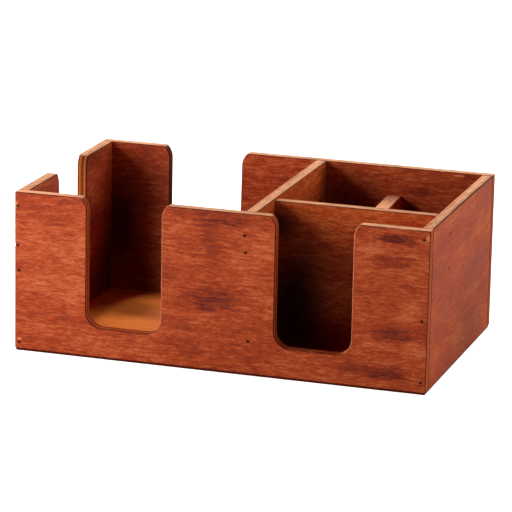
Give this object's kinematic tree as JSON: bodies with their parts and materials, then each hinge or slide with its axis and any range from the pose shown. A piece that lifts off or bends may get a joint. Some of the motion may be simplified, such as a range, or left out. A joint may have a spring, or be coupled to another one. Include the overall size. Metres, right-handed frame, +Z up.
{
  "type": "countertop caddy",
  "caption": "Open stained plywood caddy of nailed boards: a napkin bay with finger cutouts on one side, smaller bays for napkins, cups and stirrers on the other.",
  "frame": {"origin": "middle of the underside, where the base sheet rests on the table", "axes": "+X to the right along the front, +Y from the front to the back, +Z up"},
  "size_m": [0.33, 0.201, 0.1268],
  "materials": {
    "outer_boards": "red-brown stain and satin varnish on plywood, edges sanded lighter",
    "dividers": "red-brown stain and satin varnish on plywood, edges sanded lighter",
    "base_sheet": "orange-brown stain on thin plywood, dark edge",
    "brads": "dull steel, heads punched below the face"
  },
  "bodies": {
    "root": {"front_panel": "outer_boards", "back_panel": "outer_boards", "left_end_panel": "outer_boards", "right_end_panel": "outer_boards", "cross_divider": "dividers", "long_divider": "dividers", "short_divider": "dividers", "base_panel": "base_sheet", "nails_front_to_left_end": "brads", "nails_front_to_right_end": "brads", "nails_front_to_cross_divider": "brads", "nails_back_to_left_end": "brads", "nails_back_to_right_end": "brads", "nails_back_to_cross_divider": "brads", "nails_back_to_short_divider": "brads", "nails_right_end_to_long_divider": "brads", "nails_cross_divider_to_long_divider": "brads", "nails_base_to_front": "brads", "nails_base_to_back": "brads", "nails_base_to_left_end": "brads", "nails_base_to_right_end": "brads", "nails_base_to_cross_divider": "brads", "nails_base_to_long_divider": "brads", "nails_base_to_short_divider": "brads"}
  },
  "joints": []
}
